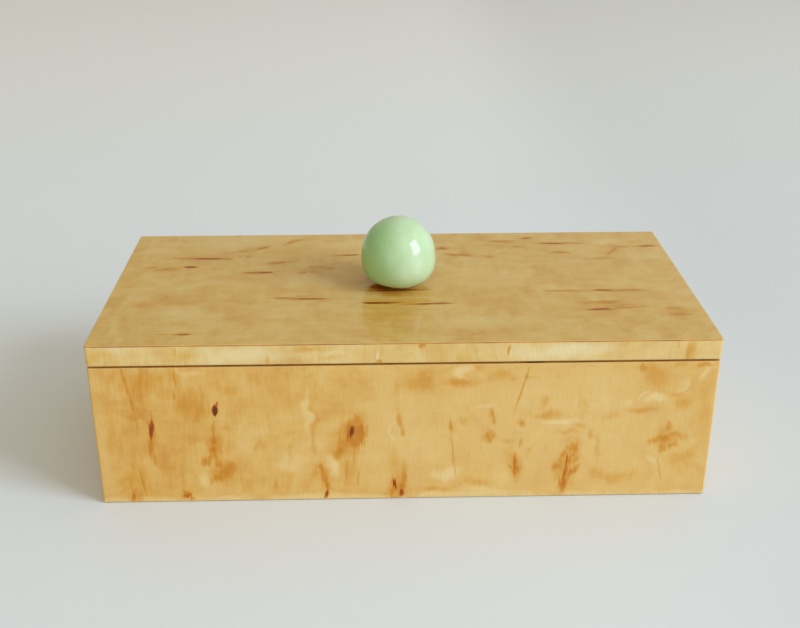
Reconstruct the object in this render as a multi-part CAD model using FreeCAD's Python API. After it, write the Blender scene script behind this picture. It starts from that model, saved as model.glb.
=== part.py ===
"""Birch-veneered box with a lift-off lid and a glazed ball knob.

All sizes are in millimetres. The origin is the middle of the base; +X runs along the length of
the box, +Y towards its back and +Z up. Each function below makes one kind of piece, in its place,
and every piece is written to parts/NAME.step.
"""

import FreeCAD
import Part

import os

# ---- box body ----
BOX_LENGTH = 240.0  # outside, over the veneer
BOX_DEPTH = 117.0  # outside, over the veneer
BOX_HEIGHT = 60.0  # table to rim
WALL_CORE = 7.4  # birch board under the outside veneer
CORNER_REBATE = 3.7  # how far the end walls are let into the front and back walls
BOTTOM_PANEL = 4.0  # thickness of the plywood bottom
BOTTOM_REBATE = 3.7  # how far the bottom is let under each wall
VENEER = 0.6  # every leaf of veneer

# ---- lid ----
LID_CORE = 8.2  # board between the two leaves of veneer
LID_OVERHANG = 0.1  # past the body on each side
UNDERSIDE_SETBACK = 2.5  # the underside leaf stops short of the edge and leaves a shadow gap
STRIP_WIDTH = 6.0  # locating strips under the lid
STRIP_HEIGHT = 5.0
STRIP_CLEARANCE = 0.5  # between the strips and the inside of the walls
STRIP_CHAMFER = 1.2  # lead-in on the strips' lower outside arris

# ---- eased arrises ----
BODY_CORNER = 0.9  # upright corners
BODY_BASE_ARRIS = 1.0
BODY_RIM_ARRIS = 0.35
LID_CORNER = 1.2
LID_TOP_ARRIS = 0.35
LID_UNDER_ARRIS = 0.9

# ---- knob and its fixing ----
KNOB_RADIUS = 15.2
KNOB_FLAT = 1.2  # cut off the bottom of the ball
KNOB_FOOT_ROUND = 2.5  # softened edge of the flat
INSERT_RADIUS = 3.5  # brass threaded insert
INSERT_LENGTH = 10.0
INSERT_RECESS = 0.5  # the insert sits this far up inside the ball
CEMENT_GAP = 0.1  # round the insert and above it
SCREW_RADIUS = 1.95  # M4 shank
SCREW_LENGTH = 16.0
SCREW_HEAD_RADIUS = 3.75
SCREW_HEAD_RIM = 0.3  # straight rim of the countersunk head
SCREW_SLOT_WIDTH = 1.0
SCREW_SLOT_DEPTH = 0.9
SCREW_CLEARANCE = 0.15  # hole in the lid, wider than the screw all round
THREAD_CLEARANCE = 0.05  # screw in the insert

# ---- worked out from the sizes above ----
CORE_LENGTH = BOX_LENGTH - 2 * VENEER
CORE_DEPTH = BOX_DEPTH - 2 * VENEER
CORE_TOP = BOX_HEIGHT - VENEER
INSIDE_LENGTH = CORE_LENGTH - 2 * WALL_CORE
INSIDE_DEPTH = CORE_DEPTH - 2 * WALL_CORE
LID_LENGTH = BOX_LENGTH + 2 * LID_OVERHANG
LID_DEPTH = BOX_DEPTH + 2 * LID_OVERHANG
LID_BOARD_BOTTOM = BOX_HEIGHT + VENEER  # the lid rests on its underside leaf
LID_BOARD_TOP = LID_BOARD_BOTTOM + LID_CORE
LID_TOP = LID_BOARD_TOP + VENEER

UP = FreeCAD.Vector(0, 0, 1)


def slab(length, depth, bottom, top):
    """A board centred on the Z axis."""
    corner = FreeCAD.Vector(-length / 2, -depth / 2, bottom)
    return Part.makeBox(length, depth, top - bottom, corner)


def block(x, y, z):
    """A box between two values of x, of y and of z."""
    return Part.makeBox(x[1] - x[0], y[1] - y[0], z[1] - z[0], FreeCAD.Vector(x[0], y[0], z[0]))


def mirrored(shape, normal):
    """The same piece on the opposite side of the box."""
    return shape.mirror(FreeCAD.Vector(0, 0, 0), normal)


def edges_where(solid, test):
    """The solid's edges whose two ends both pass the test."""
    return [edge for edge in solid.Edges if all(test(vertex.Point) for vertex in edge.Vertexes)]


def eased_block(length, depth, bottom, top, corner, lower_arris, upper_arris):
    """The outside of the body or of the lid: a block with rounded corners and eased arrises."""
    solid = slab(length, depth, bottom, top)
    upright = [e for e in solid.Edges if abs(e.tangentAt(e.FirstParameter).z) > 0.5]
    solid = solid.makeFillet(corner, upright)
    near = min(lower_arris, upper_arris) / 10
    solid = solid.makeFillet(lower_arris, edges_where(solid, lambda p: abs(p.z - bottom) < near))
    return solid.makeFillet(upper_arris, edges_where(solid, lambda p: abs(p.z - top) < near))


def mitred_strips(length, depth, width, bottom, top):
    """Four strips laid round a rectangle of this outside size, their ends cut at 45 degrees."""
    x, y = length / 2, depth / 2
    long_plan = [(-x, -y), (x, -y), (x - width, -y + width), (-x + width, -y + width)]
    short_plan = [(-x, y), (-x, -y), (-x + width, -y + width), (-x + width, y - width)]
    strips = []
    for plan in (long_plan, short_plan):
        corners = [FreeCAD.Vector(px, py, bottom) for px, py in plan + plan[:1]]
        strips.append(Part.Face(Part.makePolygon(corners)).extrude(UP * (top - bottom)))
    front, left = strips
    back = mirrored(front, FreeCAD.Vector(0, 1, 0))
    right = mirrored(left, FreeCAD.Vector(1, 0, 0))
    return {"front": front, "back": back, "left": left, "right": right}


def leaves_round(length, depth, bottom, top):
    """Four leaves of veneer round a block: the front and back ones cover the ends of the others."""
    x, y = length / 2, depth / 2
    front = block((-x, x), (-y, -y + VENEER), (bottom, top))
    left = block((-x, -x + VENEER), (-y + VENEER, y - VENEER), (bottom, top))
    back = mirrored(front, FreeCAD.Vector(0, 1, 0))
    right = mirrored(left, FreeCAD.Vector(1, 0, 0))
    return {"front": front, "back": back, "left": left, "right": right}


def cone_and_cylinder(radius, head_radius, length, grow):
    """A countersunk screw, head down, from z = 0 up; grow widens it to make its hole."""
    rim = Part.makeCylinder(head_radius + grow, SCREW_HEAD_RIM)
    cone_height = head_radius - radius  # a 90 degree countersink
    cone = Part.makeCone(head_radius + grow, radius + grow, cone_height)
    cone.translate(UP * SCREW_HEAD_RIM)
    shank = Part.makeCylinder(radius + grow, length)
    return rim.fuse([cone, shank]).removeSplitter()


# ---- body pieces ----


def bottom_panel():
    length = INSIDE_LENGTH + 2 * BOTTOM_REBATE
    depth = INSIDE_DEPTH + 2 * BOTTOM_REBATE
    return slab(length, depth, 0, BOTTOM_PANEL)


def walls():
    """Front and back boards with rebates for the end walls, and every board rebated for the bottom."""
    x, y = CORE_LENGTH / 2, CORE_DEPTH / 2
    inside_y = y - WALL_CORE
    end_y = inside_y + CORNER_REBATE
    left = block((-x, -x + WALL_CORE), (-end_y, end_y), (0, CORE_TOP))
    right = mirrored(left, FreeCAD.Vector(1, 0, 0))
    front = block((-x, x), (-y, -inside_y), (0, CORE_TOP)).cut([left, right])
    back = mirrored(front, FreeCAD.Vector(0, 1, 0))
    boards = {"front": front, "back": back, "left": left, "right": right}
    panel = bottom_panel()
    return {side: board.cut(panel) for side, board in boards.items()}


def body_pieces():
    outside = eased_block(
        BOX_LENGTH, BOX_DEPTH, 0, BOX_HEIGHT, BODY_CORNER, BODY_BASE_ARRIS, BODY_RIM_ARRIS
    )
    pieces = {"bottom_panel": bottom_panel()}
    for side, board in walls().items():
        pieces[side + "_wall"] = board.common(outside)
    for side, leaf in leaves_round(BOX_LENGTH, BOX_DEPTH, 0, BOX_HEIGHT).items():
        pieces[side + "_veneer"] = leaf.common(outside)
    rims = mitred_strips(CORE_LENGTH, CORE_DEPTH, WALL_CORE, CORE_TOP, BOX_HEIGHT)
    for side, strip in rims.items():
        pieces[side + "_rim_veneer"] = strip.common(outside)
    return pieces


# ---- lid pieces ----


def knob_screw(grow=0.0):
    screw = cone_and_cylinder(SCREW_RADIUS, SCREW_HEAD_RADIUS, SCREW_LENGTH, grow)
    if grow == 0:
        slot = slab(2 * SCREW_HEAD_RADIUS, SCREW_SLOT_WIDTH, 0, SCREW_SLOT_DEPTH)
        screw = screw.cut(slot)
    screw.translate(UP * BOX_HEIGHT)
    return screw


def insert_bottom():
    return LID_TOP + INSERT_RECESS


def knob_insert():
    body = Part.makeCylinder(INSERT_RADIUS, INSERT_LENGTH)
    bore = Part.makeCylinder(SCREW_RADIUS + THREAD_CLEARANCE, INSERT_LENGTH)
    insert = body.cut(bore)
    insert.translate(UP * insert_bottom())
    return insert


def knob_ball():
    """A ball with a flat foot that stands on the lid, and a blind hole for the insert."""
    ball = Part.makeSphere(KNOB_RADIUS, FreeCAD.Vector(0, 0, 0), UP, -90, 90, 360)
    foot_level = KNOB_FLAT - KNOB_RADIUS
    below = slab(3 * KNOB_RADIUS, 3 * KNOB_RADIUS, -2 * KNOB_RADIUS, foot_level)
    ball = ball.cut(below)
    near = KNOB_FLAT / 10
    ball = ball.makeFillet(KNOB_FOOT_ROUND, edges_where(ball, lambda p: abs(p.z - foot_level) < near))
    ball.translate(UP * (LID_TOP - foot_level))
    hole_depth = INSERT_RECESS + INSERT_LENGTH + CEMENT_GAP
    hole = Part.makeCylinder(INSERT_RADIUS + CEMENT_GAP, hole_depth, FreeCAD.Vector(0, 0, LID_TOP))
    return ball.cut(hole)


def locating_strips():
    """Strips under the lid that drop just inside the walls, with a chamfer that leads them in."""
    length = INSIDE_LENGTH - 2 * STRIP_CLEARANCE
    depth = INSIDE_DEPTH - 2 * STRIP_CLEARANCE
    bottom = BOX_HEIGHT - STRIP_HEIGHT
    outline = slab(length, depth, bottom, BOX_HEIGHT)
    lower = edges_where(outline, lambda p: abs(p.z - bottom) < STRIP_HEIGHT / 2)
    outline = outline.makeChamfer(STRIP_CHAMFER, lower)
    strips = mitred_strips(length, depth, STRIP_WIDTH, bottom, BOX_HEIGHT)
    return {side: strip.common(outline) for side, strip in strips.items()}


def lid_pieces():
    outside = eased_block(
        LID_LENGTH, LID_DEPTH, LID_BOARD_BOTTOM, LID_TOP, LID_CORNER, LID_UNDER_ARRIS, LID_TOP_ARRIS
    )
    screw_hole = knob_screw(SCREW_CLEARANCE)
    board = slab(LID_LENGTH - 2 * VENEER, LID_DEPTH - 2 * VENEER, LID_BOARD_BOTTOM, LID_BOARD_TOP)
    top_leaf = slab(LID_LENGTH, LID_DEPTH, LID_BOARD_TOP, LID_TOP)
    underside = slab(
        LID_LENGTH - 2 * UNDERSIDE_SETBACK,
        LID_DEPTH - 2 * UNDERSIDE_SETBACK,
        BOX_HEIGHT,
        LID_BOARD_BOTTOM,
    )
    pieces = {
        "lid_core": board.common(outside).cut(screw_hole),
        "lid_top_veneer": top_leaf.common(outside).cut(screw_hole),
        "lid_underside_veneer": underside.cut(screw_hole),
    }
    edges = leaves_round(LID_LENGTH, LID_DEPTH, LID_BOARD_BOTTOM, LID_BOARD_TOP)
    for side, leaf in edges.items():
        pieces["lid_" + side + "_edge_veneer"] = leaf.common(outside)
    for side, strip in locating_strips().items():
        pieces["lid_" + side + "_locating_strip"] = strip
    pieces["knob_ball"] = knob_ball()
    pieces["knob_insert"] = knob_insert()
    pieces["knob_screw"] = knob_screw()
    return pieces


def single_solid(shape):
    """The one solid of a piece, without leftover compounds."""
    solids = shape.Solids
    if len(solids) != 1 or not solids[0].isValid():
        raise ValueError("a piece is not one valid solid")
    return solids[0]


def main():
    os.makedirs("parts", exist_ok=True)
    for name, shape in {**body_pieces(), **lid_pieces()}.items():
        solid = single_solid(shape)
        solid.exportStep(os.path.join("parts", name + ".step"))
        print(f"{name:28s} {solid.Volume:10.1f} mm3")


main()
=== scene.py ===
"""Looks of the veneered box: lacquered birch figure, the glazed ball knob, light and camera.

Blender works in metres, in the CAD's own frame: X along the box, Y to its back, Z up.
The knob and the marks in the wood are given in millimetres, the marks on the face that has them.
"""

import math
import random
from collections import namedtuple

import bpy
import bmesh
from mathutils import Euler, Matrix, Vector, noise


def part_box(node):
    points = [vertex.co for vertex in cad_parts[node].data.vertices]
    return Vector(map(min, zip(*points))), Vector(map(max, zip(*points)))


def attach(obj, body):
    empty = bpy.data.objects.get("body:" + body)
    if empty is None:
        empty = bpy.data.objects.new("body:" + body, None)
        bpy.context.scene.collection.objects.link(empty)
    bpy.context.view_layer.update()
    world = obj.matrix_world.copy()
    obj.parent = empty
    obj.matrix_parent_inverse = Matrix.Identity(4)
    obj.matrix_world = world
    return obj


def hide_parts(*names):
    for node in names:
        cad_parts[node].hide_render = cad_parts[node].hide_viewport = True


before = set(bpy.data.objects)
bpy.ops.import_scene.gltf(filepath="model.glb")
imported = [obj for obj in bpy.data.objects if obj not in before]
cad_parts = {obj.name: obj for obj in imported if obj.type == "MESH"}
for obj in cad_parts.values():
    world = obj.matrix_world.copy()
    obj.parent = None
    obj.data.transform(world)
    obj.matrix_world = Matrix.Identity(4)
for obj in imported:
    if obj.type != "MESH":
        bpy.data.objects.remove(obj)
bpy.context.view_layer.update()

MM = 0.001
WHITE = (1.0, 1.0, 1.0, 1.0)
DARK = (0.0, 0.0, 0.0, 1.0)


# ---------------------------------------------------------------- node trees


class Graph:
    """The node tree of a material or a world, with one short call for each kind of node."""

    def __init__(self, owner):
        owner.use_nodes = True
        self.owner = owner
        self.nodes = owner.node_tree.nodes
        self.links = owner.node_tree.links
        self.nodes.clear()

    def node(self, kind, inputs=(), **settings):
        """A node whose inputs, by name or number, are plain values or other nodes' outputs."""
        made = self.nodes.new("ShaderNode" + kind)
        for key, value in settings.items():
            setattr(made, key, value)
        for key, value in dict(inputs).items():
            if isinstance(value, bpy.types.NodeSocket):
                self.links.new(value, made.inputs[key])
            else:
                made.inputs[key].default_value = value
        return made

    def math(self, operation, a, b=0.0):
        return self.node("Math", {0: a, 1: b}, operation=operation).outputs[0]

    def multiply_add(self, value, factor, added):
        inputs = {0: value, 1: factor, 2: added}
        return self.node("Math", inputs, operation="MULTIPLY_ADD").outputs[0]

    def weighted(self, *terms):
        """The sum of value times weight."""
        total = 0.0
        for value, weight in terms:
            total = self.multiply_add(value, weight, total)
        return total

    def vector(self, operation, a, b):
        return self.node("VectorMath", {0: a, 1: b}, operation=operation).outputs[0]

    def measure(self, operation, a, b):
        """A single number worked out from two vectors."""
        return self.node("VectorMath", {0: a, 1: b}, operation=operation).outputs["Value"]

    def scaled(self, vector, factor):
        made = self.node("VectorMath", {0: vector, "Scale": factor}, operation="SCALE")
        return made.outputs[0]

    def parts(self, vector):
        """The vector's X, Y and Z."""
        return self.node("SeparateXYZ", {0: vector}).outputs

    def place(self, kind="Object"):
        return self.node("TexCoord").outputs[kind]

    def noise(self, vector, scale, detail, roughness=0.5, color=False):
        inputs = {"Vector": vector, "Scale": scale, "Detail": detail, "Roughness": roughness}
        return self.node("TexNoise", inputs).outputs["Color" if color else "Fac"]

    def sway(self, vector, scale, detail, roughness=0.5):
        """Noise as a vector about zero, to bend another pattern with."""
        value = self.noise(vector, scale, detail, roughness, color=True)
        return self.vector("SUBTRACT", value, (0.5, 0.5, 0.5))

    def smooth(self, value, low, high, to_low=0.0, to_high=1.0):
        """A smooth step from to_low, at low, to to_high, at high."""
        inputs = {0: value, 1: low, 2: high, 3: to_low, 4: to_high}
        return self.node("MapRange", inputs, interpolation_type="SMOOTHSTEP").outputs[0]

    def mix(self, share, a, b, blend="MIX"):
        inputs = {0: share, 6: a, 7: b}
        return self.node("Mix", inputs, data_type="RGBA", blend_type=blend).outputs[2]

    def ramp(self, value, stops):
        made = self.node("ValToRGB", {0: value})
        elements = made.color_ramp.elements
        elements[0].position, elements[0].color = stops[0]
        elements[1].position, elements[1].color = stops[-1]
        for position, color in stops[1:-1]:
            elements.new(position).color = color
        return made.outputs[0]

    def bump(self, height, strength, distance):
        inputs = {"Height": height, "Strength": strength, "Distance": distance}
        return self.node("Bump", inputs).outputs[0]

    def shade(self, **inputs):
        """Ends a material in one Principled shader; a name such as Coat_Weight is its socket."""
        named = {key.replace("_", " "): value for key, value in inputs.items()}
        shader = self.node("BsdfPrincipled", named)
        self.node("OutputMaterial", {0: shader.outputs[0]})
        return self.owner


def srgb(red, green, blue):
    """A colour as a screen shows it, 0 to 255, as the linear values that Blender uses."""

    def linear(value):
        share = value / 255
        return share / 12.92 if share <= 0.04045 else ((share + 0.055) / 1.055) ** 2.4

    return (linear(red), linear(green), linear(blue), 1.0)


# ---------------------------------------------------------------- figured veneer

# Colours of the figured birch under its lacquer.
CREAM = srgb(222, 193, 132)
HONEY = srgb(212, 169, 93)
AMBER = srgb(193, 129, 44)
CUT_EDGE = srgb(156, 100, 52)
# wear and painted light and shade on the eased arrises: paler than the face so shaded arrises do
# not go dark, duller so window-lit corners do not glare
ARRIS_WEAR_AND_SHADING = srgb(204, 177, 120)

# What is left of the wood's own colour as resin and bark darken it, up to the core of a knot.
RESIN = [
    (0.0, WHITE),
    (0.2, (0.93, 0.79, 0.52, 1.0)),
    (0.4, (0.86, 0.62, 0.27, 1.0)),
    (0.6, (0.74, 0.4, 0.14, 1.0)),
    (0.8, (0.52, 0.16, 0.05, 1.0)),
    (1.0, (0.1, 0.05, 0.055, 1.0)),
]
# The marks in the lid's top have faded browner.
FADED = [
    (0.0, WHITE),
    (0.2, (0.93, 0.81, 0.55, 1.0)),
    (0.4, (0.86, 0.65, 0.28, 1.0)),
    (0.6, (0.74, 0.44, 0.12, 1.0)),
    (0.8, (0.52, 0.22, 0.04, 1.0)),
    (1.0, (0.22, 0.08, 0.02, 1.0)),
]

# How a leaf is finished: its tone, what resin leaves of its colour, how squarely a spot faces
# outwards where it is still cut edge and where it is all face, and how glossy its lacquer is.
Leaf = namedtuple("Leaf", "tone resin cut_edge gloss")
BODY_LEAF = Leaf(WHITE, RESIN, (0.1, 0.35), 0.45)
LID_TOP_LEAF = Leaf((0.93, 0.98, 0.92, 1.0), FADED, (0.3, 0.7), 0.7)
LID_FRONT_LEAF = BODY_LEAF._replace(tone=(1.04, 1.22, 1.66, 1.0))

# A pattern drawn out along the grain: how many waves it has to the millimetre across and along
# the grain, and the detail and roughness of its noise.
Grain = namedtuple("Grain", "across along detail roughness")
CLOUDS = Grain(0.055, 0.035, 2, 0.5)
WISPS = Grain(0.2, 0.08, 3, 0.5)
RIPPLES = Grain(0.07, 0.24, 2, 0.5)
THREADS = Grain(0.9, 0.06, 2, 0.5)
STRANDS = Grain(1.8, 0.14, 2, 0.5)
FIBRES = Grain(3.0, 0.12, 3, 0.6)

# How much resin a mark of each kind holds, how far the grain frays it and how soft its outline is.
Kind = namedtuple("Kind", "resin fray softness")
LIGHT = Kind(0.0, 0.25, 0.8)
CLOUD = Kind(0.35, 0.25, 0.9)
STAIN = Kind(0.5, 0.35, 0.5)
RED = Kind(0.65, 0.2, 0.45)
BLACK = Kind(0.95, 0.12, 0.4)

# Each leaf and each board shows a stretch of its pattern of its own, so many millimetres on.
LEAF_STEP = Vector((37.0, 53.0, 0.0))
BOARD_STEP = Vector((31.0, 17.0, 0.0))

# How far, in millimetres, the slow drift and the curl of the fibres bend finer patterns, the curl
# bends soft marks, and the fraying shifts hard marks (across and along the grain).
DRIFT = 9.0
CURL = 1.8
MARK_CURL = 9.0
MARK_FRAY = (1.4, 3.5, 0.0)

# One mark in a face, in millimetres: the middle of the mark, its length along its own line, its
# width, how far that line leans from the grain (degrees, clockwise) and how strong the mark is.
Mark = namedtuple("Mark", "u v length width lean strength")
# A mark fades out inside its ellipse, so the ellipse's half axes are longer than half the mark's,
# and it goes right through the leaf.
HALF_LENGTH = 0.7
HALF_WIDTH = 0.8
THROUGH = 1e4

# The marks of a face by kind, from the softest to the darkest.
Marks = namedtuple("Marks", "light cloud stain red black")


def depth_axis(across, along):
    """The axis that a face looks along."""
    return ({"x", "y", "z"} - {across, along}).pop()


def face_point(graph, across, along):
    """Object coordinates in millimetres, as (across the grain, along the grain, depth)."""
    parts = graph.parts(graph.scaled(graph.place(), 1 / MM))
    order = [parts["xyz".index(axis)] for axis in (across, along, depth_axis(across, along))]
    return graph.node("CombineXYZ", dict(enumerate(order))).outputs[0]


def add_marks(graph, point, marks, threads, kind):
    """The strongest of the marks at each point, 0 to 1; threads of the wood fray their ends."""
    start = graph.smooth(threads, 0.35, 0.65, 0.0, kind.fray)
    full = graph.math("ADD", start, kind.softness)
    total = 0.0
    for mark in marks:
        mark = Mark(*mark)
        ellipse = {
            "Vector": point,
            "Location": (mark.u, mark.v, 0),
            "Rotation": (0, 0, -math.radians(mark.lean)),
            "Scale": (HALF_WIDTH * mark.width, HALF_LENGTH * mark.length, THROUGH),
        }
        local = graph.node("Mapping", ellipse, vector_type="TEXTURE").outputs[0]
        inside = graph.node("TexGradient", {0: local}, gradient_type="SPHERICAL").outputs["Fac"]
        shade = graph.smooth(inside, start, full, 0.0, mark.strength)
        total = graph.math("MAXIMUM", total, shade)
    return total


def veneer(name, across, along, marks, seed, leaf):
    """Lacquered figured birch on one face."""
    graph = Graph(bpy.data.materials.new(name))
    point = face_point(graph, across, along)
    place = graph.vector("ADD", point, seed * LEAF_STEP)

    # slow drift of the fibres bends every finer pattern with it
    curl = graph.sway(place, 0.1, 2)
    bent = graph.vector("ADD", place, graph.scaled(graph.sway(place, 0.022, 1), DRIFT))
    bent = graph.vector("ADD", bent, graph.scaled(curl, CURL))

    def pattern(grain):
        stretched = graph.vector("MULTIPLY", bent, (grain.across, grain.along, 1.0))
        return graph.noise(stretched, 1.0, grain.detail, grain.roughness)

    clouds = pattern(CLOUDS)
    wisps = pattern(WISPS)
    threads = pattern(THREADS)
    fibres = pattern(FIBRES)
    figure = graph.weighted((clouds, 0.4), (wisps, 0.28), (pattern(RIPPLES), 0.2), (threads, 0.12))
    figure = graph.smooth(figure, 0.04, 0.96)
    color = graph.ramp(figure, [(0.0, AMBER), (0.5, HONEY), (1.0, CREAM)])

    # marks: soft ones follow the curl of the grain, hard ones only fray along it
    fray = graph.sway(graph.vector("MULTIPLY", point, (1.0, 0.22, 1.0)), 0.9, 3, 0.6)
    ragged = graph.vector("ADD", point, graph.vector("MULTIPLY", fray, MARK_FRAY))
    wavy = graph.vector("ADD", point, graph.scaled(curl, MARK_CURL))
    strands = graph.weighted((threads, 0.35), (pattern(STRANDS), 0.65))
    patches = graph.weighted((wisps, 0.6), (threads, 0.4))
    light = add_marks(graph, wavy, marks.light, patches, LIGHT)
    color = graph.mix(light, color, CREAM)
    layers = (
        (CLOUD, wavy, marks.cloud, patches),
        (STAIN, ragged, marks.stain, strands),
        (RED, ragged, marks.red, strands),
        (BLACK, ragged, marks.black, strands),
    )
    clear = 1.0
    for kind, where, listed, grain in layers:
        if listed:
            resin = add_marks(graph, where, listed, grain, kind)
            clear = graph.math("MULTIPLY", clear, graph.multiply_add(resin, -kind.resin, 1.0))
    darkened = graph.ramp(graph.math("SUBTRACT", 1.0, clear), leaf.resin)
    color = graph.mix(1.0, color, darkened, "MULTIPLY")

    # fine fibres and the tone of this leaf over everything
    shade = graph.smooth(fibres, 0.3, 0.7, 0.96, 1.03)
    shade = graph.node("CombineColor", {0: shade, 1: shade, 2: shade}).outputs[0]
    color = graph.mix(1.0, color, shade, "MULTIPLY")
    color = graph.mix(1.0, color, leaf.tone, "MULTIPLY")

    # the eased arrises turn a paler, duller colour: partly wear from handling, partly painted
    # light and shade that keeps shaded arrises from going dark and window-lit corners from
    # glaring; the sides of the leaf are cut edge and glue line
    normal = graph.parts(graph.place("Normal"))
    facing = graph.math("ABSOLUTE", normal["xyz".index(depth_axis(across, along))])
    color = graph.mix(graph.smooth(facing, 0.75, 0.97, 0.7, 0.0), color, ARRIS_WEAR_AND_SHADING)
    cut = graph.mix(graph.smooth(clouds, 0.35, 0.6), CUT_EDGE, AMBER)
    color = graph.mix(graph.smooth(facing, *leaf.cut_edge, 1.0, 0.0), color, cut)

    waves = graph.weighted((graph.noise(point, 0.12, 1), 1.0), (fibres, 0.1))
    return graph.shade(
        Base_Color=color,
        Roughness=0.5,
        Specular_IOR_Level=0.0,
        Coat_Weight=leaf.gloss,
        Coat_Roughness=0.05,
        Coat_IOR=1.5,
        Coat_Normal=graph.bump(waves, 0.05, 0.0003),
    )


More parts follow.
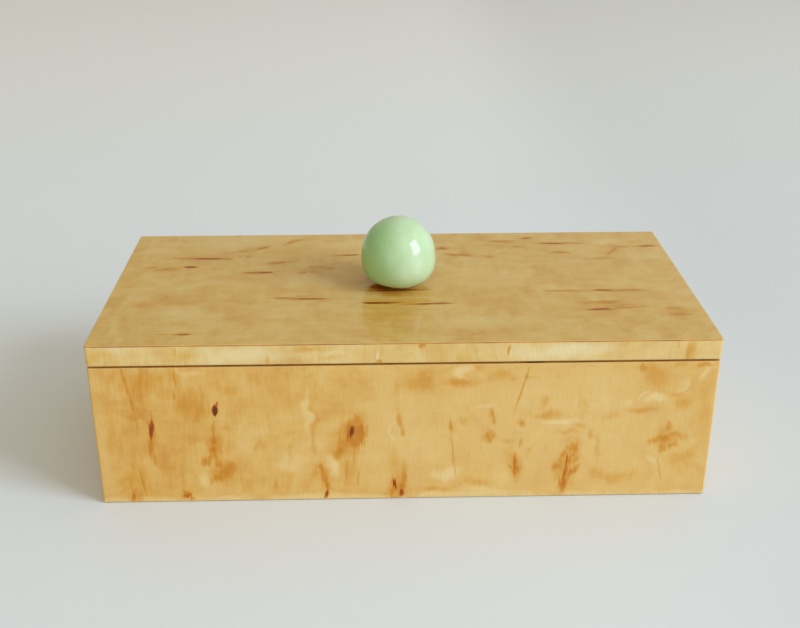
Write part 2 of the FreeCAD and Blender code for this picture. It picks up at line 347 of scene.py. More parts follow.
# The front's grain stands upright: here u is along the box and v is up.
FRONT_MARKS = Marks(
    light=[
        (-117.5, 24, 50, 6, 0, 0.5),
        (-79.5, 9.5, 11, 5, 0, 1.0),
        (-82, 58, 3.5, 12, 0, 0.5),
        (-62, 26, 16, 9, 0, 0.5),
        (-45, 18, 12, 12, 0, 0.65),
        (-37.5, 40, 28, 2.5, 0, 0.7),
        (-28.5, 15.5, 13, 5, -8, 0.95),
        (-24.8, 11, 12, 1.5, 0, 0.5),
        (-17, 8, 10, 1.4, -10, 0.4),
        (-5.6, 31, 13, 2.6, 0, 0.8),
        (-1, 46, 8, 2, 8, 0.5),
        (5, 28, 70, 60, 0, 0.4),
        (21, 57.5, 4.5, 11, 0, 0.95),
        (14.5, 12, 9, 16, 0, 1.0),
        (32, 2.5, 5, 30, 0, 0.8),
        (38, 9, 10, 9, 0, 0.6),
        (31, 42.5, 4, 15, 0, 0.7),
        (47, 14, 14, 8, 0, 0.5),
        (45, 31, 4, 9, 0, 0.6),
        (59, 34, 5, 20, -4, 1.0),
        (70, 30, 90, 120, 0, 0.45),
        (71, 36.5, 3, 12, -50, 0.6),
        (86.5, 43.5, 5, 7, -30, 0.8),
        (97, 44.7, 8, 13, 0, 1.0),
        (91.5, 46.5, 4, 7, -60, 0.8),
        (106, 50.5, 3.5, 10, -50, 0.7),
        (115, 55.5, 4, 10, -60, 0.8),
        (97.5, 16.5, 7, 5, 0, 0.8),
        (112, 26, 4, 13, -80, 0.6),
        (0, 0, 6, 600, 0, 0.85),
    ],
    cloud=[
        (-100, 30, 90, 70, 0, 0.3),
        (-98, 53.5, 18, 28, 0, 0.9),
        (-91, 50, 14, 18, 0, 0.6),
        (-104, 50, 18, 7, 0, 0.55),
        (-83, 44, 19, 15, 0, 0.85),
        (-80.5, 41, 14, 5, 0, 0.5),
        (-105, 41, 14, 7, 0, 0.5),
        (-67, 50.5, 6, 8, -15, 0.55),
        (-64, 46, 9, 3, 0, 0.45),
        (-68, 34, 7, 8, -20, 0.45),
        (-98.5, 29, 24, 7, 0, 0.75),
        (-75, 26, 24, 8, 0, 0.65),
        (-71, 13.5, 12, 13, 20, 0.75),
        (-78.5, 19, 8, 7, 0, 0.7),
        (-108, 10, 26, 12, 0, 0.6),
        (-103, 10, 22, 8, 5, 0.5),
        (-86.5, 3, 6, 7, -30, 0.5),
        (-57.5, 27, 14, 2.5, 0, 0.4),
        (-51.5, 9, 7, 3, 0, 0.6),
        (-46, 9, 10, 4, 0, 0.4),
        (-45, 23, 2.5, 12, -80, 0.4),
        (-36, 33, 32, 2.4, 0, 0.5),
        (-35.3, 24, 8, 4.5, 0, 0.5),
        (-21.5, 28.5, 21, 12, 18, 1.0),
        (-25, 24, 13, 9, 20, 0.8),
        (-18, 33, 14, 8, 0, 0.7),
        (-22.5, 13, 18, 8, 0, 0.45),
        (-33, 12, 15, 6, -12, 0.6),
        (-3.5, 6, 13, 8, 0, 0.9),
        (-5, 16, 14, 8, 0, 0.55),
        (-0.5, 10, 16, 3.5, 0, 0.6),
        (-4, 50, 10, 5, 0, 0.4),
        (-3, 38, 14, 2.5, -5, 0.45),
        (5.5, 52.5, 11, 14, 0, 0.8),
        (19.5, 53, 5, 15, 4, 0.85),
        (26.5, 58, 5, 5, 0, 0.7),
        (25, 51, 3, 5, 0, 0.5),
        (12, 4.5, 4.5, 13, 0, 0.6),
        (27, 7, 6, 14, 0, 0.5),
        (17.5, 33, 9, 3, 0, 0.45),
        (33.5, 37, 10, 4, 0, 0.55),
        (33, 27.8, 8, 6.5, 0, 0.75),
        (21.5, 35, 5, 7, 0, 0.35),
        (37, 54.5, 6, 14, 0, 0.6),
        (48, 54.5, 4, 6, 0, 0.5),
        (53.5, 44, 8, 5, 0, 0.65),
        (55, 37.5, 4.5, 15, 0, 0.7),
        (41, 25.5, 4, 6, 0, 0.4),
        (45.3, 34, 4.5, 4, 0, 0.55),
        (49.5, 21, 7, 3, 0, 0.5),
        (43.3, 15, 17, 6.5, 0, 0.75),
        (62, 29, 4, 11, 0, 0.6),
        (67.5, 32, 4, 5, 0, 0.55),
        (67.7, 42, 13, 3, 0, 0.45),
        (72.5, 29, 7, 2.5, -10, 0.55),
        (64, 15, 27, 10, 5, 0.95),
        (59.5, 14, 9, 5, 0, 0.65),
        (66, 22, 9, 7, 20, 0.7),
        (76.5, 21, 14, 2, 0, 0.45),
        (76, 12, 7, 7, 0, 0.45),
        (83, 9.5, 7, 22, 0, 0.55),
        (92, 39.5, 3.5, 15, 0, 0.8),
        (80, 37, 6, 9, 0, 0.4),
        (96, 53.5, 13, 14, 0, 0.65),
        (90.3, 57.5, 4, 5, 0, 0.6),
        (107, 43.5, 10, 7, 0, 0.65),
        (104, 58.6, 3, 6, 0, 0.6),
        (104, 47, 5, 6, 0, 0.5),
        (102, 26.5, 13, 12, 0, 0.85),
        (107.5, 28, 4, 10, 0, 0.55),
        (111, 17, 13, 17, 0, 0.6),
        (117, 13, 9, 5, 0, 0.5),
        (116, 40, 28, 8, 0, 0.45),
    ],
    stain=[
        (-106.6, 56.5, 7, 1.3, -12, 0.65),
        (-105.6, 51.5, 9, 1.3, -4, 0.65),
        (-104.6, 44.5, 8, 1.2, -8, 0.5),
        (-103.6, 36, 14, 0.8, -2, 0.45),
        (-107.6, 3, 6, 1.9, 8, 0.85),
        (-106.8, 6, 4, 1.0, 15, 0.5),
        (-103.6, 10, 14, 1.0, -8, 0.45),
        (-86.5, 3.4, 3.6, 4.0, -35, 0.9),
        (-84.9, 1.5, 2.6, 2.2, -40, 0.8),
        (-87.6, 5, 2.2, 1.8, -30, 0.6),
        (-87.4, 55, 10, 1.0, 0, 0.5),
        (-88.2, 47.5, 5, 1.0, 12, 0.4),
        (-98.1, 33, 13, 2.6, 5, 0.85),
        (-98.7, 27, 10, 2.8, 0, 0.6),
        (-99.3, 23.5, 6, 1.3, 0, 0.6),
        (-98, 20, 7, 1.6, -10, 0.5),
        (-74.4, 33, 7, 1.8, 0, 0.4),
        (-74.4, 27.8, 4, 2.8, 0, 0.45),
        (-74.8, 24, 4.4, 3.4, 0, 0.55),
        (-74.2, 21, 5, 1.8, -10, 0.6),
        (-78, 18.6, 5, 4, 0, 0.6),
        (-76, 20.5, 4, 1.6, 20, 0.5),
        (-73.4, 17.5, 6, 2.4, -5, 0.7),
        (-71, 13.5, 6.5, 6, 20, 0.35),
        (-68, 15.5, 6, 4, 35, 0.35),
        (-73.5, 11, 4, 5, 0, 0.5),
        (-76.3, 9.5, 3.5, 1.6, -10, 0.5),
        (-21, 30.5, 10, 4.4, 13, 0.9),
        (-17.6, 30.5, 13, 3.2, 0, 0.95),
        (-19.5, 27, 7, 7, 0, 0.7),
        (-24.3, 25.5, 7, 6, 20, 0.4),
        (-26.3, 21.5, 8, 3.2, 15, 0.5),
        (-18.7, 36.5, 6, 3.6, 10, 0.6),
        (-15.1, 31.5, 7, 1.3, 0, 0.5),
        (-22.4, 33.8, 6, 2.4, 15, 0.55),
        (-20.4, 21, 9, 1.1, 0, 0.4),
        (-18.7, 10, 9, 1.3, 0, 0.4),
        (-23.3, 13, 12, 1.0, 0, 0.3),
        (-33.2, 15, 5, 1.7, -15, 0.7),
        (-32, 11, 6, 2.8, -15, 0.55),
        (-31, 7, 7, 2.0, -5, 0.7),
        (-31.3, 3, 5, 1.8, 12, 0.9),
        (-4.4, 7, 8, 2.0, -8, 0.9),
        (-5.6, 3, 6, 1.4, -5, 0.6),
        (-1.4, 5.5, 6, 3.2, 15, 0.8),
        (-1.6, 3, 4.4, 2.8, 20, 0.9),
        (-0.6, 9.5, 8, 2.0, 5, 0.6),
        (-3.2, 4, 8, 5.5, 0, 0.45),
        (-3.8, 0.9, 2.2, 4.5, 0, 0.6),
        (-2.2, 35, 9, 1.5, -12, 0.6),
        (-1.1, 30.6, 3.8, 1.9, -15, 0.55),
        (17.4, 33, 6, 1.3, 0, 0.65),
        (18.2, 25, 12, 1.0, -6, 0.45),
        (18.3, 24, 28, 0.9, -5, 0.4),
        (18.8, 19, 6, 1.1, -6, 0.4),
        (19.4, 13, 6, 0.9, -6, 0.35),
        (33.5, 38.6, 5, 1.3, -14, 0.55),
        (34.3, 34.8, 3.2, 1.3, 10, 0.55),
        (31.9, 29, 3.2, 1.5, -10, 0.5),
        (32.8, 26.3, 3.8, 2.0, 0, 0.65),
        (34.4, 28.6, 4, 1.2, 20, 0.45),
        (46.4, 55.5, 8, 0.9, 12, 0.55),
        (44.7, 49.5, 24, 0.9, 15, 0.65),
        (20, 53, 2.4, 9, 8, 0.25),
        (90.3, 57.6, 3, 2.8, 0, 0.5),
        (113.5, 58.5, 2, 7, 0, 0.6),
        (101.3, 26.6, 4.4, 5, 0, 0.65),
        (102.7, 31.5, 5, 2.6, 0, 0.5),
        (98, 25.8, 2.4, 5, -10, 0.5),
        (101.2, 21.6, 4.4, 3.2, 0, 0.55),
        (105.2, 23, 2.4, 4, -35, 0.5),
        (105, 28.2, 2.2, 5, -10, 0.4),
        (100.8, 12, 12, 1.1, -10, 0.4),
        (43.1, 17.5, 10, 1.6, 0, 0.65),
        (43.4, 12.6, 5.5, 3.2, 0, 0.75),
        (41.8, 13.8, 4, 1.2, -35, 0.55),
        (44.9, 25, 5, 1.3, 10, 0.5),
        (45.2, 33.8, 3, 1.9, -20, 0.4),
        (44.9, 12.5, 4, 1.3, 20, 0.5),
        (64.1, 17.5, 5, 1.7, -5, 0.65),
        (63.6, 12, 8, 1.7, 0, 0.65),
        (62.8, 6.3, 8, 3.0, 5, 0.85),
        (64.3, 8.5, 6, 2.2, 20, 0.5),
        (66.2, 11.6, 5.5, 2.6, 40, 0.85),
        (67.6, 13.6, 4, 1.7, 45, 0.6),
        (67.2, 17, 4, 1.7, 40, 0.45),
        (65.8, 19, 5, 1.7, 25, 0.45),
        (65.3, 22.8, 5.5, 4, 10, 0.6),
        (66.6, 23.6, 4, 1.5, 10, 0.5),
        (62.2, 20, 4.5, 1.9, 25, 0.65),
        (61.2, 17.4, 5.5, 1.7, 0, 0.5),
        (60.2, 14.2, 3.4, 2.8, 0, 0.55),
        (58.6, 13.8, 3.2, 2.0, 0, 0.35),
        (62.4, 2.9, 3, 1.9, 10, 0.5),
    ],
    red=[
        (-98.1, 33.6, 8.5, 1.8, 5, 1.0),
        (-74.5, 27.6, 2, 1.2, 0, 0.2),
        (-75, 24.2, 2, 1.4, 0, 0.2),
        (-86.2, 3.0, 2.4, 2.4, -35, 0.4),
        (-20.7, 31.4, 4.8, 1.5, 15, 1.0),
        (-31.4, 3.0, 4.5, 1.0, 15, 1.0),
        (-31.2, 6.5, 3, 1.0, 0, 0.3),
        (-4.4, 7.2, 5, 1.2, -10, 1.0),
        (-1.6, 3.2, 3, 1.4, 20, 0.85),
        (43.1, 15.5, 5, 1.0, 0, 0.4),
        (63.7, 16.5, 8, 0.8, -3, 0.55),
        (63.1, 10.8, 5, 1.0, 12, 0.6),
        (63, 6.8, 5, 1.3, 5, 0.25),
    ],
    black=[
        (-73.1, 41.5, 4, 2.2, 12, 1.0),
        (-72.6, 43.2, 4, 1.1, 18, 0.7),
        (-98.1, 33.0, 3.6, 1.0, 5, 0.25),
        (-31.2, 2.4, 2.8, 0.8, 12, 0.2),
        (-4.4, 7, 3.4, 0.8, -10, 0.2),
        (63.6, 15, 6, 0.6, -2, 0.12),
        (-21.0, 31, 3.6, 1.3, 15, 0.51),
    ],
)

# The lid's grain runs along the box, so here u is towards the back and v is along the box.
LID_MARKS = Marks(
    light=[
        (50, -80, 70, 20, 0, 0.5),
        (45, -20, 40, 10, 0, 0.4),
        (3, -40, 40, 14, 0, 0.4),
        (-30, -85, 40, 12, 0, 0.4),
        (-40, 30, 60, 14, 0, 0.4),
        (45, 95, 14, 8, 20, 0.6),
        (22, 78, 14, 6, 0, 0.4),
        (-4, -92, 50, 4, 25, 0.3),
        (-24, -84, 30, 3, 40, 0.3),
    ],
    cloud=[
        (29, -86, 34, 6, 0, 0.5),
        (38, -71, 14, 4, 30, 0.5),
        (43, -62, 14, 5, 30, 0.6),
        (50, -47, 16, 5, 25, 0.6),
        (24, -52, 16, 6, 15, 0.6),
        (15, -38, 20, 8, 0, 0.5),
        (17, -103, 16, 7, 0, 0.6),
        (19, -92, 14, 5, 0, 0.45),
        (-20, -100, 60, 16, 0, 0.4),
        (-14, -97, 5, 4, 0, 0.6),
        (-34, -68, 16, 5, 0, 0.4),
        (12.3, -60, 18, 5, 0, 0.45),
        (-16.6, -43, 30, 4, 0, 0.5),
        (-10, -2, 34, 12, 0, 0.6),
        # painted reflection and shade: the knob's dark mirror image in the lacquer and the shade
        # it leaves in front of it
        (-34, -2, 30, 34, 0, 0.4),
        (-22, 2, 50, 6, 0, 0.6),
        (30, 29, 16, 6, -12, 0.6),
        (39, 20, 10, 6, 0, 0.5),
        (47, 46, 16, 5, 0, 0.5),
        (44, 73, 30, 6, 0, 0.55),
        (33, 72, 14, 6, 0, 0.5),
        (-11, 82, 56, 5, 0, 0.5),
        (-26, 82, 34, 10, 0, 0.6),
        (-35, 109, 18, 12, 0, 0.8),
        (34, 97, 20, 6, 50, 0.5),
        (39, 112, 24, 5, 0, 0.5),
        (46, 110, 14, 5, 0, 0.45),
        (-50, 0, 120, 10, 0, 0.3),
        (52, -100, 30, 8, 0, 0.4),
    ],
    stain=[
        (28.9, -85, 19, 2.5, -2, 1.0),
        (29.6, -97, 8.6, 1.9, 0, 0.74),
        (28.4, -77, 7.6, 2.1, -8, 0.74),
        (19.2, -91.2, 7.6, 2.5, 0, 1.0),
        (17.4, -101, 9.7, 2.5, 0, 0.8),
        (19.5, -107, 6.5, 2.2, 0, 0.75),
        (12.1, -61.5, 13, 2.4, 0, 0.95),
        (-15.8, -48, 13, 1.8, -2, 0.85),
        (-16.6, -38.5, 17, 2.2, 0, 0.95),
        (-49.2, -85, 10, 2.5, 0, 0.95),
        (-49, -92, 6.5, 1.6, 0, 0.42),
        (37.5, -70, 5.4, 2.7, 35, 0.55),
        (31, -67.5, 3.2, 2.5, 0, 0.6),
        (41.8, -61.7, 9.7, 2.7, 40, 0.85),
        (48.5, -49, 11.9, 2.5, 40, 0.9),
        (23.5, -53.5, 8.6, 2.7, 18, 0.9),
        (24.8, -47, 9, 1.8, 10, 0.6),
        (11.5, -42.5, 4.3, 2.5, 0, 0.65),
        (18, -38, 4.3, 2.7, 0, 0.6),
        (12, -38, 3.2, 2.5, 0, 0.55),
        (18, -34, 3.2, 2.5, 0, 0.55),
        (16, -30.5, 4.3, 2.9, 0, 0.6),
        (31.6, -24, 13, 2.2, 2, 0.95),
        (-8.6, -2, 30.2, 2.5, 0, 0.95),
        (-13.5, -5, 8.6, 4.5, 0, 0.53),
        (-21.5, -9, 19.4, 2.2, -1, 1.0),
        (-22.8, 11, 21.6, 2.1, 2, 1.0),
        (39, 20, 8.6, 3.6, 0, 0.9),
        (31, 23, 6.5, 2.9, -20, 0.8),
        (30, 29.5, 7.6, 3.1, -20, 0.9),
        (28, 40, 5.4, 3.1, 0, 0.75),
        (47.5, 47, 14, 2.5, 0, 0.85),
        (40, 54, 5.4, 2.9, 10, 0.65),
        (51, 59, 8, 2.7, 10, 0.85),
        (44, 71, 17.3, 2.4, 0, 1.0),
        (43.6, 81, 9.7, 1.8, 0, 0.64),
        (32.5, 70, 8.6, 2.2, 20, 0.75),
        (32.5, 74, 8.6, 2.2, -20, 0.75),
        (39.5, 112, 14, 2.5, 0, 1.0),
        (38.8, 102, 7.6, 1.8, 0, 0.75),
        (32.5, 95.5, 14, 2.2, 57, 0.8),
        (25, 90, 15.1, 2.2, 8, 0.65),
        (-11.2, 69, 24, 1.8, 0, 0.85),
        (-11, 83, 12, 2.6, 0, 0.95),
        (-11.3, 94, 15.1, 1.8, 0, 0.8),
        (-23, 80, 21.6, 2.9, 3, 0.8),
        (-30, 79, 13, 2.7, 2, 1.0),
        (-28.4, 92, 17.3, 1.9, 2, 0.8),
        (-29.5, 108, 10.8, 2.5, 0, 0.6),
        (-36, 109, 10.8, 3.4, 0, 0.65),
    ],
    red=[
        (28.9, -84.5, 15, 1.5, -2, 0.92),
        (19.2, -91, 6.2, 1.7, 0, 1.0),
        (12.3, -58.5, 6.7, 1.5, 0, 0.86),
        (11.8, -64.5, 5.6, 1.3, 0, 0.7),
        (-16.8, -39, 13, 1.3, 0, 0.75),
        (-15.8, -49, 6.7, 1.2, 0, 0.7),
        (-49.2, -84.2, 4.5, 1.5, 0, 0.7),
        (31.7, -21.5, 7.8, 1.5, 0, 0.97),
        (-21.4, -9.5, 15.7, 1.5, -1, 1.0),
        (-22.8, 12, 16.8, 1.3, 2, 0.92),
        (-8.5, -2, 22, 1.6, 0, 0.95),
        (39.3, 20, 4.5, 1.8, 0, 0.49),
        (44, 70, 9, 1.5, 0, 0.86),
        (51, 59.3, 4.5, 1.5, 10, 0.59),
        (39.6, 113.5, 7.8, 1.5, 0, 0.7),
        (-11.1, 83.5, 7.8, 1.6, 0, 0.86),
        (-30, 79, 9, 1.5, 2, 0.86),
    ],
    black=[
        # painted shade: the contact shadow in front of the knob's foot, on its left
        (-5, -8.5, 11, 4.4, 0, 0.8),
        (28.9, -84.5, 11, 1.0, -2, 0.35),
        (19.2, -91, 4, 1.0, 0, 0.5),
        (-21.3, -9.8, 11, 1.0, -1, 0.65),
        (12.2, -58.5, 4, 0.9, 0, 0.35),
        (-16.9, -36, 5, 0.9, 0, 0.15),
        (44, 70, 5, 0.9, 0, 0.3),
        (31.8, -20.5, 4, 0.9, 0, 0.7),
    ],
)

# The lid's front edge is laid out as the front is.
LID_FRONT_MARKS = Marks(
    light=[
        (-9.8, 64.8, 6, 2, 0, 0.8),
        (60, 64.8, 8, 40, 0, 0.7),
        (-60, 64.8, 8, 30, 0, 0.5),
    ],
    cloud=[
        (-36, 67, 4, 14, 0, 0.6),
        (-84, 64.3, 10, 10, 0, 0.5),
        (-115, 64.3, 10, 14, 0, 0.6),
        (-28, 62.7, 3, 8, 0, 0.6),
        (107, 64.8, 10, 4, 0, 0.9),
        (21, 64.3, 8, 6, 0, 0.4),
    ],
    stain=[
        (-86.5, 66.5, 5, 1.5, 0, 0.4),
        (-52, 62.7, 5, 1.5, 0, 0.4),
        (-10, 61.5, 2.2, 2.4, 0, 0.8),
        (6, 68, 2.5, 3, 0, 0.8),
        (39, 66.5, 5.5, 0.9, 8, 0.9),
        (107, 65.4, 9, 1.6, 0, 0.35),
        (103, 67, 4, 0.8, 0, 0.5),
    ],
    red=[],
    black=[],
)


def scattered(seed, u_range, v_range, share=1.0):
    """Marks for a face that isn't seen from the front, as many to the area as the front has."""
    draw = random.Random(seed)
    area = (u_range[1] - u_range[0]) * (v_range[1] - v_range[0]) * share

    def some(one_per, length, width, lean, strength):
        def mark():
            return (
                draw.uniform(*u_range),
                draw.uniform(*v_range),
                draw.uniform(*length),
                draw.uniform(*width),
                draw.uniform(-lean, lean),
                draw.uniform(*strength),
            )

        return [mark() for _ in range(round(area / one_per))]

    light = some(900, (5, 16), (4, 14), 40, (0.5, 0.9))
    cloud = some(450, (5, 20), (3, 12), 25, (0.5, 0.9))
    stain = some(800, (4, 14), (1.4, 3.0), 15, (0.5, 0.95))
    knots = some(2600, (4, 8), (1.3, 2.2), 12, (0.7, 1.0))
    # each dark knot sits in a stain and an amber halo of its own
    for u, v, length, width, lean, strength in knots:
        stain.append((u, v, length * 2.0, width * 2.2, lean, 0.9 * strength))
        cloud.append((u, v, length * 3.0, width * 5.0, lean, 0.8 * strength))
    return Marks(light, cloud, stain, knots[1:], knots[:1])


def rim(seed, u_range, v_range, outer, span):
    """A rim's own marks and a brown line of painted shade along its outer arris, which darkens the
    shadow line under the lid.
    """
    marks = scattered(seed, u_range, v_range)
    return marks._replace(red=marks.red + [(outer, 0, span, 3.0, 0, 0.6)])


# ---------------------------------------------------------------- plain materials

BIRCH_DARK = srgb(205, 168, 118)
BIRCH_PALE = srgb(229, 201, 156)
# the plain glaze, and the glaze darkened with painted shade on the knob's left, away from the
# window; each from its darkest to its palest
GLAZE_PLAIN = (srgb(176, 204, 156), srgb(188, 212, 170))
GLAZE_SHADED_SIDE = (srgb(146, 194, 129), srgb(157, 202, 141))
CLAY = srgb(222, 212, 190)
BRASS_DARK = srgb(190, 150, 84)
BRASS_PALE = srgb(222, 186, 118)

# The knob in millimetres: a ball that swells towards its foot, which is cut nearly flat, askew.
KNOB_MIDDLE = Vector((-1.3, -0.9, 83.32))
BALL_RADIUS = 15.15
SWELL = 1.45
SWELL_AT = 122  # degrees from the top
SWELL_SPREAD = 23
FOOT_DISTANCE = 12.9
FOOT_BLEND = 1.3
FOOT_LEAN = math.radians(11)
FOOT_TOWARD = math.radians(203)
FOOT_NORMAL = Vector(
    (
        math.sin(FOOT_LEAN) * math.cos(FOOT_TOWARD),
        math.sin(FOOT_LEAN) * math.sin(FOOT_TOWARD),
        -math.cos(FOOT_LEAN),
    )
)
GLAZE_CHIP = Vector((2.5, -12.5, 72.4))
KNOB_RESTS_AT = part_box("lid_top_veneer")[1].z / MM
CEMENT_GAP = 0.1
INSERT_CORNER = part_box("knob_insert")[1] / MM
HOLE_RADIUS = INSERT_CORNER.x + CEMENT_GAP
HOLE_END = INSERT_CORNER.z + CEMENT_GAP


def board(name, across, along, seed):
    """Plain birch with a thin satin lacquer."""
    graph = Graph(bpy.data.materials.new(name))
    point = face_point(graph, across, along)
    place = graph.vector("ADD", point, seed * BOARD_STEP)
    broad = graph.noise(graph.vector("MULTIPLY", place, (1.0, 0.06, 1.0)), 0.25, 3)
    fibres = graph.noise(graph.vector("MULTIPLY", place, (1.0, 0.03, 1.0)), 2.5, 3, 0.6)
    figure = graph.weighted((broad, 0.7), (fibres, 0.3))
    return graph.shade(
        Base_Color=graph.ramp(figure, [(0.3, BIRCH_DARK), (0.7, BIRCH_PALE)]),
        Roughness=0.5,
        Normal=graph.bump(fibres, 0.3, 0.0001),
        Coat_Weight=0.3,
        Coat_Roughness=0.3,
    )


def glaze(name):
    """Pale green glaze over a buff clay foot."""
    graph = Graph(bpy.data.materials.new(name))
    point = graph.scaled(graph.place(), 1 / MM)
    mottle = graph.noise(point, 0.12, 3)
    figure = graph.weighted((mottle, 0.75), (graph.noise(point, 1.4, 2), 0.25))
    thin = graph.ramp(figure, list(zip((0.35, 0.65), GLAZE_PLAIN)))
    shaded_side = graph.ramp(figure, list(zip((0.35, 0.65), GLAZE_SHADED_SIDE)))
    # painted shade: the glaze darker and greener on the left, away from the window, with a
    # wandering border
    across = graph.multiply_add(mottle, 8.0, graph.parts(point)[0])
    color = graph.mix(graph.smooth(across, -9.0, 6.0), shaded_side, thin)
    # bare clay shows on the foot, up to a slightly ragged edge, and in one small chip
    down = graph.measure("DOT_PRODUCT", graph.vector("SUBTRACT", point, KNOB_MIDDLE), FOOT_NORMAL)
    edge = graph.multiply_add(graph.noise(point, 0.7, 2), 0.5, down)
    bare = graph.smooth(edge, FOOT_DISTANCE - 0.2, FOOT_DISTANCE + 0.05)
    chip = graph.smooth(graph.measure("DISTANCE", point, GLAZE_CHIP), 0.5, 0.9, 1.0, 0.0)
    clay = graph.math("MAXIMUM", bare, chip)
    return graph.shade(
        Base_Color=graph.mix(clay, color, CLAY),
        Roughness=0.4,
        Specular_IOR_Level=0.2,
        Coat_Weight=graph.multiply_add(clay, -0.8, 0.8),
        Coat_Roughness=0.09,
        Coat_IOR=1.5,
        Coat_Normal=graph.bump(graph.noise(point, 0.16, 2), 0.2, 0.0006),
    )


def brass(name):
    """Turned brass, with its tool marks round the piece."""
    graph = Graph(bpy.data.materials.new(name))
    point = graph.scaled(graph.place(), 1 / MM)
    turning = graph.noise(graph.vector("MULTIPLY", point, (1, 1, 6)), 2.0, 3, 0.6)
    return graph.shade(
        Base_Color=graph.ramp(turning, [(0.3, BRASS_DARK), (0.7, BRASS_PALE)]),
        Metallic=1.0,
        Roughness=0.32,
        Normal=graph.bump(turning, 0.1, 0.0001),
    )


# ---------------------------------------------------------------- the hand-made knob


def knob_reach(direction):
    """How far the glazed ball reaches from its middle in a direction, in millimetres."""
    polar = math.degrees(math.acos(max(-1.0, min(1.0, direction.z))))
    reach = BALL_RADIUS + SWELL * math.exp(-(((polar - SWELL_AT) / SWELL_SPREAD) ** 2))
    # thumbed hollows and finer unevenness
    reach += 0.15 * noise.noise(direction * 1.7 + Vector((3.1, 7.7, 1.9)))
    reach += 0.06 * noise.noise(direction * 5.0)
    facing = direction.dot(FOOT_NORMAL)
    if facing > 0.2:
        # a soft join between the ball and the nearly flat foot it rests on
        foot = FOOT_DISTANCE / facing
        share = max(FOOT_BLEND - abs(reach - foot), 0.0) / FOOT_BLEND
        reach = min(reach, foot) - share * share * FOOT_BLEND / 4
    return reach


def knob_surface(azimuth, polar):
    """The point of the glazed skin in a direction, in millimetres."""
    flat = math.sin(polar)
    direction = Vector((flat * math.cos(azimuth), flat * math.sin(azimuth), math.cos(polar)))
    return KNOB_MIDDLE + direction * knob_reach(direction)


def hole_edge(angle):
    """The azimuth and the polar angle at which the skin meets the hole's wall."""
    away_x = HOLE_RADIUS * math.cos(angle) - KNOB_MIDDLE.x
    away_y = HOLE_RADIUS * math.sin(angle) - KNOB_MIDDLE.y
    azimuth = math.atan2(away_y, away_x)
    low, high = math.radians(120), math.radians(180)
    for _ in range(40):
        polar = (low + high) / 2
        spot = knob_surface(azimuth, polar)
        if math.hypot(spot.x, spot.y) > HOLE_RADIUS:
            low = polar
        else:
            high = polar
    return azimuth, polar


def make_knob(material):
    """The slightly lopsided ball: pear-shaped towards its foot, which lies askew on the lid."""
    turns = 96
    rings = 60
    edges = [hole_edge(2 * math.pi * step / turns) for step in range(turns)]
    skin = [
        [knob_surface(azimuth, polar * ring / rings) for azimuth, polar in edges]
        for ring in range(1, rings + 1)
    ]
    lift = KNOB_RESTS_AT - min(spot.z for ring in skin for spot in ring)
    roof = [Vector((spot.x, spot.y, HOLE_END - lift)) for spot in skin[-1]]

    shape = bmesh.new()

    def add(spot):
        return shape.verts.new((spot + Vector((0, 0, lift))) * MM)

    levels = [[add(spot) for spot in ring] for ring in skin + [roof]]
    pole = add(knob_surface(0.0, 0.0))
    end = add(Vector((0, 0, HOLE_END - lift)))
    for step in range(turns):
        after = (step + 1) % turns
        shape.faces.new((pole, levels[0][step], levels[0][after])).smooth = True
        for upper, lower in zip(levels[:-2], levels[1:-1]):
            quad = (upper[step], lower[step], lower[after], upper[after])
            shape.faces.new(quad).smooth = True
        mouth, top = levels[-2], levels[-1]
        shape.faces.new((mouth[step], top[step], top[after], mouth[after]))
        shape.faces.new((top[step], end, top[after]))
    mesh = bpy.data.meshes.new("knob")
    shape.to_mesh(mesh)
    shape.free()
    mesh.materials.append(material)
    knob = bpy.data.objects.new("knob", mesh)
    bpy.context.scene.collection.objects.link(knob)
    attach(knob, "lid")
    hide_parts("knob_ball")


# ---------------------------------------------------------------- dressing the parts


def dress(node, material):
    """Puts a material on a CAD node."""
    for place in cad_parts[node].material_slots:
        place.material = material


# Where marks are scattered, in millimetres.
ALONG_BOX = (-120, 120)
FRONT_TO_BACK = (-58, 58)
BODY_HEIGHT = (0, 60)
LID_HEIGHT = (60, 70)

# The axis across the grain, the axis along it and the marks of each face. A rim's brown line,
# painted shade for the shadow line under the lid, lies on its outer arris and runs out past both
# ends.
FACES = {
    "front_veneer": ("x", "z", FRONT_MARKS),
    "back_veneer": ("x", "z", scattered(11, ALONG_BOX, BODY_HEIGHT)),
    "left_veneer": ("y", "z", scattered(12, FRONT_TO_BACK, BODY_HEIGHT)),
    "right_veneer": ("y", "z", scattered(13, FRONT_TO_BACK, BODY_HEIGHT)),
    "lid_top_veneer": ("y", "x", LID_MARKS),
    "lid_front_edge_veneer": ("x", "z", LID_FRONT_MARKS),
    "lid_back_edge_veneer": ("x", "z", scattered(14, ALONG_BOX, LID_HEIGHT)),
    "lid_left_edge_veneer": ("y", "z", scattered(15, FRONT_TO_BACK, LID_HEIGHT)),
    "lid_right_edge_veneer": ("y", "z", scattered(16, FRONT_TO_BACK, LID_HEIGHT)),
    "lid_underside_veneer": ("y", "x", scattered(17, FRONT_TO_BACK, ALONG_BOX, 0.5)),
    "front_rim_veneer": ("y", "x", rim(18, (-58, -50), ALONG_BOX, -58.5, 600)),
    "back_rim_veneer": ("y", "x", rim(19, (50, 58), ALONG_BOX, 58.5, 600)),
    "left_rim_veneer": ("x", "y", rim(20, (-120, -112), FRONT_TO_BACK, -120, 300)),
    "right_rim_veneer": ("x", "y", rim(21, (112, 120), FRONT_TO_BACK, 120, 300)),
}
LEAVES = {"lid_top_veneer": LID_TOP_LEAF, "lid_front_edge_veneer": LID_FRONT_LEAF}
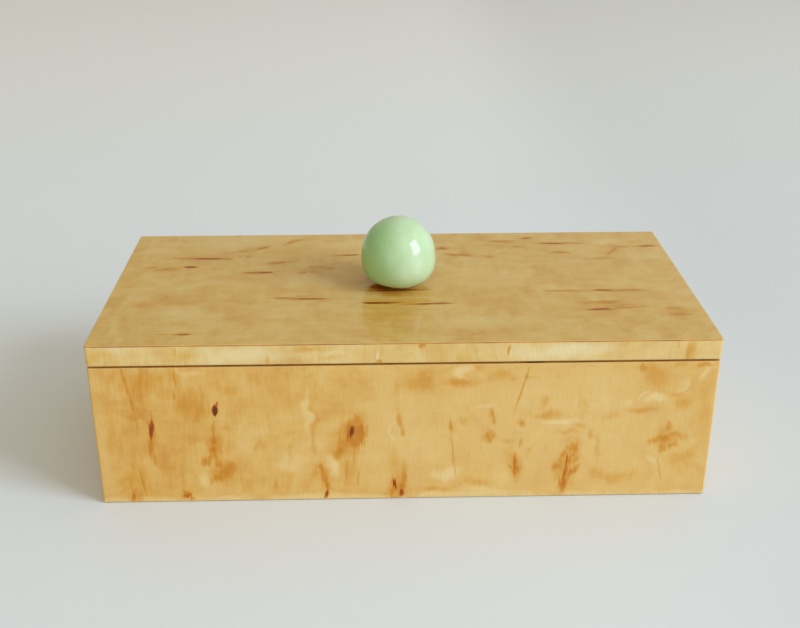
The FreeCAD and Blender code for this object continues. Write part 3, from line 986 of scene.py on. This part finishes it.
for seed, (node, (across, along, marks)) in enumerate(FACES.items(), 1):
    leaf = LEAVES.get(node, BODY_LEAF)
    dress(node, veneer(node + "_look", across, along, marks, seed, leaf))

# the boards' grain runs along their length
boards = [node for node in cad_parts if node.endswith(("_wall", "_strip"))]
for seed, node in enumerate(sorted(boards) + ["bottom_panel", "lid_core"], 1):
    along = "y" if node.startswith(("left", "right")) else "x"
    across = "z" if node in boards else "y"
    dress(node, board(node + "_look", across, along, seed))

make_knob(glaze("green_glaze_look"))
dress("knob_screw", brass("brass_look"))
dress("knob_insert", brass("brass_look"))


# ---------------------------------------------------------------- floor, light and camera

FLOOR_NEAR = srgb(221, 226, 227)
FLOOR_FAR = srgb(232, 233, 229)
FLOOR_TURNS_PALE = (0.0, 0.9)  # metres back from the box's middle
FLOOR_SHADE_SPAN = (0.05, 0.22)  # metres to the right of it
FLOOR_PAINTED_SHADE = 0.12
LIGHT_FROM_LEFT = srgb(191, 176, 140)
LIGHT_FROM_RIGHT = srgb(243, 243, 243)
WORLD_STRENGTH = 0.8
BACKDROP_LEFT = srgb(147, 138, 112)
BACKDROP_RIGHT = srgb(255, 255, 246)
LAMPS_AIM_AT = Vector((0, 0, 0.05))
CAMERA_PLACE = Vector((-0.01199, -0.43435, 0.25195))
CAMERA_TURN = (65.5726, 0.0194, -1.5066)  # degrees about X, Y and Z
SENSOR_WIDTH = 36.0
LENS = 50.243


def make_floor():
    """A pale floor, a little paler far behind the box, with painted shade that darkens it to the
    right of the box.
    """
    graph = Graph(bpy.data.materials.new("pale_floor"))
    place = graph.parts(graph.place())
    color = graph.mix(graph.smooth(place[1], *FLOOR_TURNS_PALE), FLOOR_NEAR, FLOOR_FAR)
    # painted shade: the floor darkens to the right of the box
    painted_shade = graph.smooth(place[0], *FLOOR_SHADE_SPAN, 0.0, FLOOR_PAINTED_SHADE)
    color = graph.mix(painted_shade, color, DARK)
    bpy.ops.mesh.primitive_plane_add(size=8.0, location=(0, 0, 0))
    floor = bpy.context.object
    floor.name = "floor"
    floor.data.materials.append(graph.shade(Base_Color=color, Roughness=0.7))


def make_light(name, toward, distance, size, power, color):
    """A large soft lamp that shines on the box from a direction."""
    lamp = bpy.data.lights.new(name, "AREA")
    lamp.shape = "RECTANGLE"
    lamp.size, lamp.size_y = size
    lamp.energy = power
    lamp.color = color
    holder = bpy.data.objects.new(name, lamp)
    bpy.context.scene.collection.objects.link(holder)
    direction = Vector(toward).normalized()
    holder.location = direction * distance + LAMPS_AIM_AT
    holder.rotation_euler = direction.to_track_quat("Z", "Y").to_euler()


def make_world():
    """Soft light, dimmer and warmer from the left; reflections see a plain pale backdrop."""
    world = bpy.data.worlds.new("room")
    graph = Graph(world)
    toward = graph.parts(graph.place("Generated"))
    side = graph.node("MapRange", {0: toward[0], 1: -1.0}).outputs[0]
    light = graph.mix(side, LIGHT_FROM_LEFT, LIGHT_FROM_RIGHT)
    light = graph.node("Background", {"Color": light, "Strength": WORLD_STRENGTH})
    backdrop = graph.mix(side, BACKDROP_LEFT, BACKDROP_RIGHT)
    backdrop = graph.node("Background", {"Color": backdrop})
    rays = graph.node("LightPath").outputs
    seen = graph.math("MAXIMUM", rays["Is Camera Ray"], rays["Is Glossy Ray"])
    seen = graph.math("MAXIMUM", seen, rays["Is Transmission Ray"])
    room = graph.node("MixShader", {0: seen, 1: light.outputs[0], 2: backdrop.outputs[0]})
    graph.node("OutputWorld", {0: room.outputs[0]})
    bpy.context.scene.world = world


def make_camera():
    """The camera looks down on the box from the front, almost squarely."""
    camera = bpy.data.cameras.new("camera")
    camera.sensor_fit = "HORIZONTAL"
    camera.sensor_width = SENSOR_WIDTH
    camera.lens = LENS
    camera.clip_start = 0.01
    holder = bpy.data.objects.new("camera", camera)
    bpy.context.scene.collection.objects.link(holder)
    turn = Euler([math.radians(angle) for angle in CAMERA_TURN])
    holder.matrix_world = Matrix.Translation(CAMERA_PLACE) @ turn.to_matrix().to_4x4()
    bpy.context.scene.camera = holder


bpy.context.scene.view_settings.view_transform = "Standard"
make_floor()
make_light(
    "window",
    toward=(0.794, -0.412, 0.449),
    distance=3.0,
    size=(1.35, 1.95),
    power=84.0,
    color=(0.72, 0.83, 1.0),
)
make_light(
    "front_fill",
    toward=(-0.1, -0.95, 0.35),
    distance=2.4,
    size=(3.2, 2.0),
    power=12.0,
    color=(1.0, 1.0, 0.82),
)
make_world()
make_camera()
